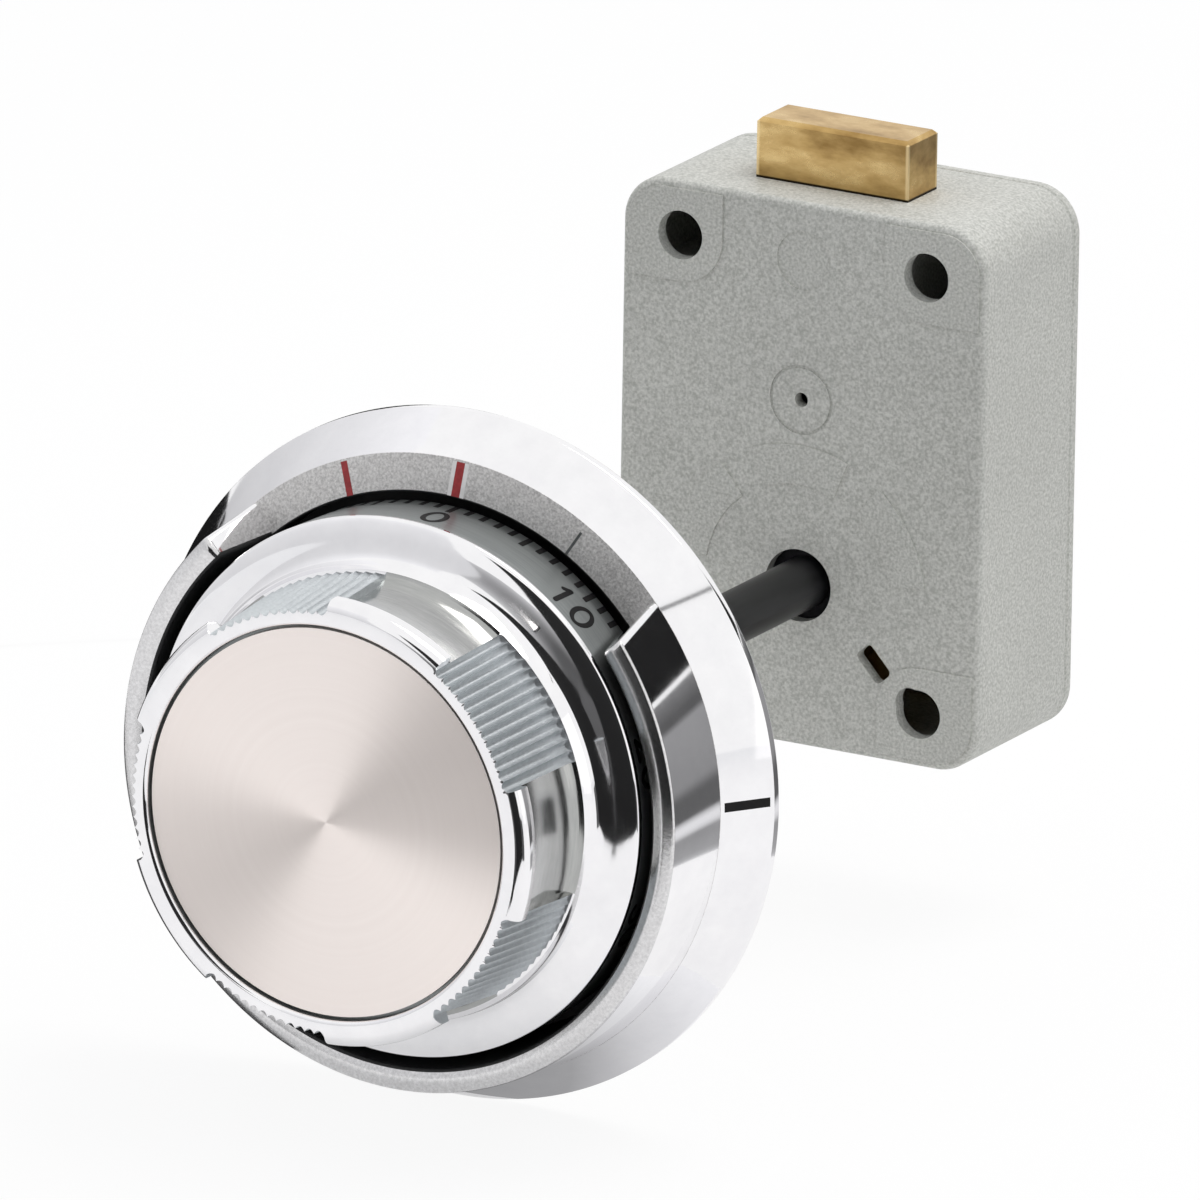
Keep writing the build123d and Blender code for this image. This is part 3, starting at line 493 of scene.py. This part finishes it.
# Ring and dial insides: near black and matt, as painted shade for the deep gap between collar and dial, on
# the bore, the web, the collar's inner wall and the dial's hollow.
inside, tree, shader = surface("ring_inside_painted_shade")
grain = noise(tree, 1500, 2.0)
tint = ramp(tree, grain, (0.3, (0.010, 0.010, 0.011)), (0.7, (0.022, 0.022, 0.023)))
link(tree, tint, shader.inputs["Base Color"])
link(tree, spread(tree, grain, 0.45, 0.6), shader.inputs["Roughness"])
link(tree, relief(tree, grain, 0.00002, 0.5), shader.inputs["Normal"])

ring_finishes = [chrome, blasted, inside, lip]
# dark is the inside finish, painted shade.
bright, frosted, dark, satin = range(4)
ring_turn = 3.6
ring_steps = 300
flange_r, flange_top_r, window_r = 51.6, 46.5, 41.0
flange_back, flange_rise, window_rise = -1.5, 6.8, 8.0
web_front, boss_r, boss_front, bushing_r = 1.7, 9.0, 4.8, 6.02
outline, marks = soften([
    (flange_r, flange_back, 0.3, bright),
    (flange_r, 0.0, 0.25, bright),
    (flange_top_r, flange_rise, 0.15, frosted),
    (window_r, window_rise, 0.25, dark),
    (window_r, web_front, 0, dark),
    (boss_r, web_front, 0, dark),
    (boss_r, boss_front, 0.3, dark),
    (bushing_r, boss_front, 0, dark),
    (bushing_r, flange_back, 0, frosted),
])
grid = [[front(r, d, 360 * i / ring_steps) for r, d in outline] for i in range(ring_steps)]
flange = skin("ring_flange", grid, marks, True, ring_finishes)

# The web's two screw holes are countersunk from the front.
screw_x, screw_r, head_r, head_seat = 25.4, 2.4, 4.7, -0.5
hole_back, hole_front, hole_steps = -3.0, 1.8, 48
hole = [
    (0.01, hole_back), (screw_r, hole_back), (screw_r, head_seat),
    (head_r, hole_front), (0.01, hole_front),
]
cutters = []
for side in (-1, 1):
    grid = []
    for i in range(hole_steps):
        t = 2 * math.pi * i / hole_steps
        row = []
        for r, d in hole:
            x = side * screw_x + r * math.cos(t)
            row.append((x / 1000, -(rim_front + d) / 1000, r * math.sin(t) / 1000))
        grid.append(row)
    cutter = skin("cutter", grid, [dark] * len(hole), True, ring_finishes)
    change = flange.modifiers.new("hole", "BOOLEAN")
    change.object = cutter
    change.operation = "DIFFERENCE"
    cutters.append(cutter)
mesh = bpy.data.meshes.new_from_object(flange.evaluated_get(bpy.context.evaluated_depsgraph_get()))
flange.modifiers.clear()
flange.data = mesh
smooth(mesh)
for cutter in cutters:
    bpy.data.objects.remove(cutter)

# The collar stands on the flange apart from the window, whose two ends lean outwards.
foot_out_r, foot_out, foot_in_r, foot_in = 46.53, 6.3, 40.95, 7.4
lip_out_r, lip_middle_r, lip_in_r = 45.7, 43.9, 42.1
lip_edge, lip_crown = 19.0, 19.5
# The collar's inner wall takes the dark inside finish: painted shade in the gap towards the dial.
collar, marks = soften([
    (foot_out_r, foot_out, 0, bright),
    (lip_out_r, lip_edge, 0.6, satin),
    (lip_middle_r, lip_crown, 2.5, satin),
    (lip_in_r, lip_edge, 0.6, dark),
    (foot_in_r, foot_in, 0, dark),
], 8)
collar_middle = Vector((43.8, 13.0))
collar_steps = 240
window_half = 45.25
end_lean = math.radians(12.8)
edge_r = 0.7


def window_end(r, d):
    """The turn from the window's middle at which the collar starts."""
    return window_half + math.degrees(math.asin(max(0, d - flange_rise) * math.tan(end_lean) / r))


def inset(points, depth):
    """A closed outline drawn in by depth."""
    made = []
    for i, p in enumerate(points):
        tangent = Vector(points[(i + 1) % len(points)]) - Vector(points[i - 1])
        normal = Vector((-tangent.y, tangent.x)).normalized()
        if normal.dot(collar_middle - Vector(p)) < 0:
            normal = -normal
        made.append(tuple(Vector(p) + normal * depth))
    return made


bends = [math.pi / 2 * k / 6 for k in range(7)]
end_rows = [(inset(collar, edge_r * (1 - math.sin(a))), edge_r * (1 - math.cos(a))) for a in bends]
rows = [(points, along, 0.0) for points, along in end_rows]
rows += [(collar, edge_r, i / collar_steps) for i in range(1, collar_steps)]
rows += [(points, along, 1.0) for points, along in reversed(end_rows)]
grid = []
for points, along, share in rows:
    row = []
    for r, d in points:
        start = window_end(r, d) + math.degrees(along / r)
        row.append(front(r, d, ring_turn + start + share * (360 - 2 * start)))
    grid.append(row)
collar_piece = skin("ring_collar", grid, marks, False, ring_finishes, caps=bright)
ring = join("dial_ring_body", [flange, collar_piece], ring_finishes)
smooth(ring.data)
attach(ring, "housing")
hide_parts("dial_ring")


# Marks on the ring: enamel run into pressed lines, the opening mark red between pale edges, the
# changing mark red, a thin grey one beside them, and a dark line across the flange at the side.
def strip(name, stations, width, finish, lift=0.02):
    """A flat painted line through (radius, depth, turn) points, that many millimetres wide."""
    points, faces = [], []
    for i, (r, d, turn) in enumerate(stations):
        a, b = stations[max(i - 1, 0)], stations[min(i + 1, len(stations) - 1)]
        slope = Vector((b[0] - a[0], b[1] - a[1])).normalized()
        r, d = r + abs(slope.y) * lift, d + abs(slope.x) * lift
        half = math.degrees(width / 2 / r)
        points += [front(r, d, turn - half), front(r, d, turn), front(r, d, turn + half)]
        if i:
            k = 3 * i
            faces += [(k - 3, k - 2, k + 1, k), (k - 2, k - 1, k + 2, k + 1)]
    mesh = bpy.data.meshes.new(name)
    mesh.from_pydata(points, [], faces)
    mesh.materials.append(finish)
    smooth(mesh)
    made = placed(name, mesh)
    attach(made, "housing")


def paint(name, dark, pale, rough):
    made, tree, shader = surface(name)
    fleck = noise(tree, 900, 3.0, 0.6)
    link(tree, ramp(tree, fleck, (0.35, dark), (0.65, pale)), shader.inputs["Base Color"])
    link(tree, spread(tree, fleck, rough, rough + 0.15), shader.inputs["Roughness"])
    link(tree, relief(tree, fleck, 0.00002, 0.5), shader.inputs["Normal"])
    return made


red = paint("mark_red", (0.30, 0.012, 0.016), (0.45, 0.03, 0.035), 0.35)
pale_edge = paint("mark_edge", (0.84, 0.83, 0.82), (0.94, 0.93, 0.92), 0.4)
black = paint("mark_black", (0.004, 0.004, 0.005), (0.01, 0.009, 0.009), 0.45)
black.node_tree.nodes["Principled BSDF"].inputs["Specular IOR Level"].default_value = 0.2
grey_fill = paint("mark_grey", (0.05, 0.055, 0.055), (0.1, 0.105, 0.105), 0.4)
window_line = [(46.2, 6.86), (45.2, 7.08), (43.2, 7.53), (41.25, 7.95)]
for name, turn, line, width, finish, lift in (
    ("index_red_left", -24.6, window_line, 1.1, red, 0.02),
    ("index_edge", 0.0, window_line, 2.7, pale_edge, 0.02),
    ("index_red_main", 0.0, window_line, 1.35, red, 0.035),
    ("index_thin", 27.0, window_line[1:], 0.42, grey_fill, 0.02),
):
    strip(name, [(r, d, ring_turn + turn) for r, d in line], width, finish, lift)
side_turn = 84.8
flange_slope = flange_rise / (flange_r - flange_top_r)
side_line = [(r, (flange_r - r) * flange_slope, ring_turn + side_turn) for r in (51.2, 49.8, 48.3, 46.9)]
strip("side_mark", side_line, 1.4, black)


# Dial: one zinc casting with a satin graduated band, a polished bell, and a knob whose five fluted
# patches are left matt between scoops with a bright rim. It is pinned on the spindle.
band_metal, tree, shader = surface("dial_satin")
hair = noise(tree, 90, 4.0, 0.6, (1, 40, 1))
tint = ramp(tree, hair, (0.3, (0.27, 0.29, 0.29)), (0.7, (0.36, 0.38, 0.38)))
link(tree, tint, shader.inputs["Base Color"])
shader.inputs["Metallic"].default_value = 0.85
link(tree, spread(tree, hair, 0.3, 0.38), shader.inputs["Roughness"])

flute_metal, tree, shader = surface("dial_flutes_matt")
fleck = noise(tree, 1500, 3.0, 0.6)
tint = ramp(tree, fleck, (0.3, (0.46, 0.49, 0.51)), (0.7, (0.54, 0.575, 0.595)))
link(tree, tint, shader.inputs["Base Color"])
shader.inputs["Metallic"].default_value = 0.85
link(tree, spread(tree, fleck, 0.38, 0.44), shader.inputs["Roughness"])

# The scoops' colour darkens from the rim towards the bell: painted shade deep in each scoop.
scoop_metal, tree, shader = surface("dial_scoops_satin")
scoop_rim_y, scoop_root_y = -0.1345, -0.1255
hair = noise(tree, 260, 4.0, 0.6, (1, 12, 1))
streak = ramp(tree, hair, (0.3, (0.84, 0.85, 0.85)), (0.7, (1.0, 1.0, 1.0)))
deep = node(tree, "SeparateXYZ", {0: node(tree, "TexCoord").outputs["Object"]}).outputs["Y"]
deep = scaled(tree, deep, scoop_rim_y, scoop_root_y)
# Painted shade: darker the deeper into the scoop.
scoop_painted_shade = ramp(tree, deep, (0.0, (0.74, 0.745, 0.74)), (0.75, (0.47, 0.475, 0.465)))
link(tree, blend(tree, 1.0, streak, scoop_painted_shade, "MULTIPLY"), shader.inputs["Base Color"])
shader.inputs["Metallic"].default_value = 1.0
link(tree, spread(tree, hair, 0.12, 0.18), shader.inputs["Roughness"])

dial_finishes = [chrome, band_metal, flute_metal, inside, scoop_metal]
polish, band, flute_matt, hollow, scoop = range(5)
dial_steps = 400
hollow_r, hollow_front = 27.8, 35.3


def curve(a, b, c, d, count):
    """Points after a on the Bezier curve from a to d that leaves towards b and arrives from c."""
    points = []
    for i in range(1, count + 1):
        t = i / count
        w = ((1 - t) ** 3, 3 * t * (1 - t) ** 2, 3 * t * t * (1 - t), t ** 3)
        points.append(tuple(sum(k * p[axis] for k, p in zip(w, (a, b, c, d))) for axis in (0, 1)))
    return points


bell_line = curve((40.3, 19.1), (40.3, 19.6), (39.7, 19.83), (38.9, 20.08), 16)
bell_line += curve((38.9, 20.08), (37.8, 20.43), (36.6, 20.52), (35.4, 20.83), 24)
bell_line += curve((35.4, 20.83), (34.35, 21.1), (33.95, 21.8), (33.4, 23.2), 24)
skirt = [(p, polish) for p in bell_line]
inner_line = ((31.0, 23.6), (hollow_r, 23.6), (hollow_r, 20.2), (36.2, 16.4), (36.2, 7.6))
skirt += [(p, hollow) for p in inner_line]
skirt += [((39.4, 7.6), band), ((39.8, 8.0), band), ((40.15, 16.0), band)]
skirt += [((40.28, 18.7), polish), ((40.3, 19.1), polish)]
grid = [[front(*p, 360 * i / dial_steps) for p, mark in skirt] for i in range(dial_steps)]
bell = skin("dial_bell", grid, [mark for p, mark in skirt], True, dial_finishes, sharp=40)

patches, patch_half, flutes = 5, 18.5, 13
patch_step = 360 / patches
flute_steps, scoop_steps, scoop_gap = 12, 40, 0.25
knob_r, knob_back, knob_foot, knob_face = 33.4, 23.0, 23.2, 40.3
rim_r, rim_bend, rim_start = 31.6, 1.8, 38.5
scoop_r, scoop_cove, scoop_shine, scoop_end, rim_foot = 31.4, 6, 37, 36.4, 37.2
crest_r, crest_taper, flute_depth, flute_end = 33.1, 1.35, 0.65, 40.2
turns = []
for patch in range(patches):
    middle = patch_step * patch - patch_half
    count = flutes * flute_steps
    for i in range(count + 1):
        turns.append((middle - patch_half + 2 * patch_half * i / count, i / flute_steps))
    start = middle + patch_half + scoop_gap
    width = patch_step - 2 * patch_half - 2 * scoop_gap
    turns += [(start + width * i / scoop_steps, None) for i in range(scoop_steps + 1)]


def grip_radius(d, flute):
    """The knob's outer radius at a depth, in a scoop, or in a flute that far from its crest."""
    full = knob_r
    if d > rim_start:
        full = rim_r + math.sqrt(max(0.0, rim_bend ** 2 - (d - rim_start) ** 2))
    if flute is not None:
        crest = crest_r - crest_taper * (d - knob_foot) / (knob_face - knob_foot)
        return min(full, crest - flute_depth * crest / crest_r * abs(math.sin(math.pi * flute)) ** 0.85)
    if d < knob_foot + scoop_cove:
        u = max(0.0, (d - knob_foot) / scoop_cove)
        return scoop_r + (knob_r - scoop_r) * (1 - math.sqrt(1 - (1 - u) ** 2))
    if d < scoop_end:
        return scoop_r
    if d < rim_foot:
        return scoop_r + (knob_r - scoop_r) * (d - scoop_end) / (rim_foot - scoop_end)
    return full


def grip_finish(d, flute):
    if flute is not None and d < flute_end:
        return flute_matt
    return scoop if d < scoop_shine else polish


# Rows of points from the knob's back to its face, close together where a scoop runs out at the rim.
depths = [knob_back, knob_foot]
depths += [knob_foot + scoop_cove * (i / 12) ** 1.5 for i in range(1, 13)]
depths += [31, 33, 35, 36.35, 36.45, 36.8, 37.15, 37.25, 38.0]
depths += [rim_start + rim_bend * math.sin(math.pi / 2 * i / 8) for i in range(9)]
seat_r, seat_depth = 29.35, 38.3
# The groove's wall and the seat round the inlay take the band's grey satin: painted shade in the groove.
face = [
    (31.0, knob_face, polish), (30.05, knob_face, polish), (29.75, 40.22, polish), (29.5, 40.0, polish),
    (seat_r, 39.7, band), (seat_r, seat_depth, band), (15.0, seat_depth, hollow),
    (0.01, seat_depth, hollow), (0.01, hollow_front, hollow), (hollow_r, hollow_front, hollow),
    (hollow_r, knob_back, hollow),
]
grid, marks = [], []
for turn, flute in turns:
    row = [front(grip_radius(d, flute), d, turn) for d in depths]
    grid.append(row + [front(r, d, turn) for r, d, mark in face])
    marks.append([grip_finish(d, flute) for d in depths] + [mark for r, d, mark in face])
knob = skin("dial_knob", grid, marks, True, dial_finishes, sharp=35)
bore_r, hub_r, hub_back, hub_front, hub_steps = 4.0, 9.0, 5.3, 35.5, 60
hub_line = [(bore_r, hub_back), (hub_r, hub_back), (hub_r, hub_front), (bore_r, hub_front)]
grid = [[front(r, d, 360 * i / hub_steps) for r, d in hub_line] for i in range(hub_steps)]
hub = skin("dial_hub", grid, [hollow] * len(hub_line), True, dial_finishes)
dial = join("dial_body", [bell, knob, hub], dial_finishes)
smooth(dial.data, 38)
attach(dial, "dial_spindle")
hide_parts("dial")


# Graduations: a hundred divisions rolled into the band with a number at each tenth, filled black.
# The numbers stand with their feet to the knob and run clockwise.
def stroke(points, width):
    """A ribbon with round ends along points given as millimetres across and up. Gives points and faces."""
    made, faces = [], []
    half = width / 2
    for i, p in enumerate(points):
        a, b = Vector(points[max(i - 1, 0)]), Vector(points[min(i + 1, len(points) - 1)])
        tangent = (b - a).normalized()
        normal = Vector((-tangent.y, tangent.x)) * half
        made += [Vector(p) + normal, Vector(p) - normal]
        if i:
            k = 2 * i
            faces.append((k - 2, k - 1, k + 1, k))
    angles = [math.pi * i / 8 for i in range(16)]
    for p in (points[0], points[-1]):
        start = len(made)
        made += [Vector(p) + half * Vector((math.cos(t), math.sin(t))) for t in angles]
        faces.append(tuple(range(start, start + 16)))
    return made, faces


def bend(cx, cy, rx, ry, a0, a1, count=28):
    angles = [math.radians(a0 + (a1 - a0) * i / count) for i in range(count + 1)]
    return [(cx + rx * math.cos(a), cy + ry * math.sin(a)) for a in angles]


def dense(*corners):
    points = []
    for (x0, y0), (x1, y1) in zip(corners, corners[1:]):
        points += [(x0 + (x1 - x0) * i / 8, y0 + (y1 - y0) * i / 8) for i in range(9)]
    return points


digit_lines = {
    "0": [bend(0, 0, 1, 1, 90, 450)],
    "1": [dense((-0.55, 0.62), (0.1, 1.0)), dense((0.1, 1.0), (0.1, -1.0))],
    "2": [bend(0, 0.45, 0.95, 0.55, 165, -30), dense((0.82, 0.17), (-0.95, -1.0)),
          dense((-0.95, -1.0), (1.0, -1.0))],
    "3": [bend(0, 0.5, 0.88, 0.5, 150, -90), bend(0, -0.5, 1.0, 0.5, 90, -150)],
    "4": [dense((0.45, -1.0), (0.45, 1.0)), dense((0.45, 1.0), (-1.0, -0.35)),
          dense((-1.0, -0.35), (1.0, -0.35))],
    "5": [dense((0.85, 1.0), (-0.7, 1.0)), dense((-0.7, 1.0), (-0.85, 0.12)),
          bend(0, -0.35, 1.0, 0.65, 145, -150)],
    "6": [bend(0, -0.4, 1.0, 0.6, 90, 450), bend(0.75, -0.35, 1.75, 1.35, 95, 178)],
    "7": [dense((-1.0, 1.0), (1.0, 1.0)), dense((1.0, 1.0), (-0.2, -1.0))],
    "8": [bend(0, 0.5, 0.85, 0.5, -90, 270), bend(0, -0.5, 1.0, 0.5, 90, 450)],
    "9": [bend(0, 0.4, 1.0, 0.6, 90, 450), bend(-0.75, 0.35, 1.75, 1.35, -85, -2)],
}
divisions = 100
zero_turn = 4.6
band_back, band_back_r, band_length, band_flare = 8.0, 39.8, 11.4, 0.5
fill_lift = 0.02
tick_half, tick_long, tick_short = 0.45, 3.3, 2.3
digit_depth, digit_pitch, digit_half, digit_rise, digit_stroke = 14.8, 4.3, 1.45, 2.45, 0.85
points, faces = [], []


def on_band(flat, flat_faces, turn, d):
    """Wraps flat shapes round the band, across to the right and up to the back, centred at turn and d."""
    start = len(points)
    for p in flat:
        depth = d - p[1]
        r = band_back_r + band_flare * (depth - band_back) / band_length + fill_lift
        points.append(front(r, depth, turn + math.degrees(p[0] / r)))
    faces.extend(tuple(start + i for i in face) for face in flat_faces)


for i in range(divisions):
    length = tick_long if i % 5 == 0 else tick_short
    tick = [(-tick_half, 0), (tick_half, 0), (tick_half, -length), (-tick_half, -length)]
    on_band(tick, [(0, 1, 2, 3)], zero_turn + 360 / divisions * i, band_back)
for i in range(10):
    text = str(10 * i)
    for k, digit in enumerate(text):
        shift = (k - (len(text) - 1) / 2) * digit_pitch
        for line in digit_lines[digit]:
            drawn = [(shift + digit_half * x, digit_rise * y) for x, y in line]
            on_band(*stroke(drawn, digit_stroke), zero_turn + 36 * i, digit_depth)
mesh = bpy.data.meshes.new("graduations")
mesh.from_pydata(points, [], faces)
mesh.materials.append(black)
graduations = placed("dial_graduations", mesh)
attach(graduations, "dial_spindle")


# Inlay: a thin stainless disc spun-brushed in fine rings and pressed into the knob's face. The brushing
# spreads its glints into fans that meet in the middle.
def rings(tree):
    """Distance from the dial's axis in metres."""
    place = node(tree, "TexCoord").outputs["Object"]
    flat = node(tree, "VectorMath", {0: place, 1: (1, 0, 1)}, operation="MULTIPLY").outputs[0]
    return node(tree, "VectorMath", {0: flat}, operation="LENGTH").outputs["Value"]


def ring_noise(tree, away, scale, detail, rough):
    inputs = {"W": away, "Scale": scale, "Detail": detail, "Roughness": rough}
    return node(tree, "TexNoise", inputs, noise_dimensions="1D").outputs["Fac"]


spun, tree, shader = surface("inlay_spun_steel")
away = rings(tree)
grooves = ring_noise(tree, away, 9000.0, 3.0, 0.7)
tone = ring_noise(tree, away, 900.0, 4.0, 0.6)
tint = ramp(tree, tone, (0.25, (0.975, 0.897, 0.855)), (0.75, (0.995, 0.919, 0.877)))
link(tree, tint, shader.inputs["Base Color"])
shader.inputs["Metallic"].default_value = 1.0
shader.inputs["Anisotropic"].default_value = 0.9
shader.inputs["Anisotropic Rotation"].default_value = 0.25
link(tree, spread(tree, tone, 0.37, 0.385), shader.inputs["Roughness"])
link(tree, node(tree, "Tangent", direction_type="RADIAL", axis="Y").outputs[0], shader.inputs["Tangent"])
link(tree, relief(tree, grooves, 0.000001, 0.3), shader.inputs["Normal"])
dress(nodes["dial_inlay"], spun)
